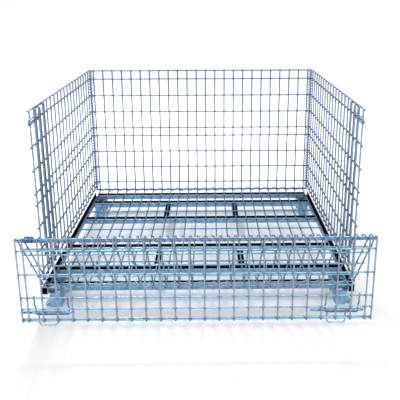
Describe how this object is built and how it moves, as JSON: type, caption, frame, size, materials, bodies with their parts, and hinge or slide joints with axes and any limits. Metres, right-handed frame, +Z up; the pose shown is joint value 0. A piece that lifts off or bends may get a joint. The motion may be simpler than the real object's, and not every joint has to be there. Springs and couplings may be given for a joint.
{
  "type": "wire mesh container",
  "caption": "Collapsible welded wire mesh container on channel base with folding sides, leaning lower front panel and hanging bolted gate.",
  "frame": {"origin": "on the ground under the middle of the container as stored, front opened", "axes": "+Z up, +X to the right seen from the front, the opened front faces -Y"},
  "size_m": [1.2144, 1.2012, 0.7782],
  "materials": {
    "zinc_wire": "bright zinc plating, bluish",
    "zinc_spiral": "bright zinc plating, bluish",
    "zinc_sheet": "bright zinc plating, light blue",
    "zinc_rod": "bright zinc plating, bluish"
  },
  "bodies": {
    "base": {"base_side_channels": "zinc_sheet", "base_front_channel": "zinc_sheet", "base_cross_channels": "zinc_sheet", "base_short_channels": "zinc_sheet", "base_front_feet": "zinc_sheet", "base_rear_feet": "zinc_sheet", "base_foot_lips": "zinc_sheet", "floor_long_wires": "zinc_wire", "floor_cross_wires": "zinc_wire", "front_hinge_wire": "zinc_wire", "rear_hinge_wire": "zinc_wire", "front_hinge_spiral": "zinc_spiral", "rear_hinge_spiral": "zinc_spiral", "back_uprights": "zinc_wire", "back_rails": "zinc_wire", "back_left_spiral": "zinc_spiral", "back_right_spiral": "zinc_spiral"},
    "side_left": {"side_left_uprights": "zinc_wire", "side_left_rails": "zinc_wire", "side_left_stay_loop": "zinc_rod", "side_left_stay_rod": "zinc_rod", "side_left_catch": "zinc_rod", "side_left_plate": "zinc_sheet"},
    "side_right": {"side_right_uprights": "zinc_wire", "side_right_rails": "zinc_wire", "side_right_stay_loop": "zinc_rod", "side_right_stay_rod": "zinc_rod", "side_right_catch": "zinc_rod", "side_right_plate": "zinc_sheet"},
    "lower": {"lower_uprights": "zinc_wire", "lower_rails": "zinc_wire", "lower_top_loop": "zinc_wire", "gate_hinge_spiral": "zinc_spiral"},
    "gate": {"gate_uprights": "zinc_wire", "gate_rails": "zinc_wire", "gate_left_guide": "zinc_rod", "gate_right_guide": "zinc_rod"},
    "bolt_left": {"bolt_left_rod": "zinc_rod", "bolt_left_handle": "zinc_rod"},
    "bolt_right": {"bolt_right_rod": "zinc_rod", "bolt_right_handle": "zinc_rod"}
  },
  "joints": [
    {"name": "lower_hinge", "type": "hinge", "parent": "base", "child": "lower", "pos_m": [0, -0.3869, 0.103], "axis": [-1, 0, 0], "range_deg": [0, 35]},
    {"name": "gate_hinge", "type": "hinge", "parent": "lower", "child": "gate", "pos_m": [0, -0.59195, 0.39585], "axis": [-1, 0, 0], "range_deg": [-20, 145]},
    {"name": "side_left_hinge", "type": "hinge", "parent": "base", "child": "side_left", "pos_m": [-0.592, 0.5791, 0.4], "axis": [0, 0, 1], "range_deg": [0, 89.5]},
    {"name": "side_right_hinge", "type": "hinge", "parent": "base", "child": "side_right", "pos_m": [0.592, 0.5791, 0.4], "axis": [0, 0, -1], "range_deg": [0, 84.5]},
    {"name": "bolt_left_slide", "type": "slide", "parent": "gate", "child": "bolt_left", "axis": [1, 0, 0], "range_m": [0, 0.034]},
    {"name": "bolt_right_slide", "type": "slide", "parent": "gate", "child": "bolt_right", "axis": [1, 0, 0], "range_m": [0, 0.034]}
  ]
}
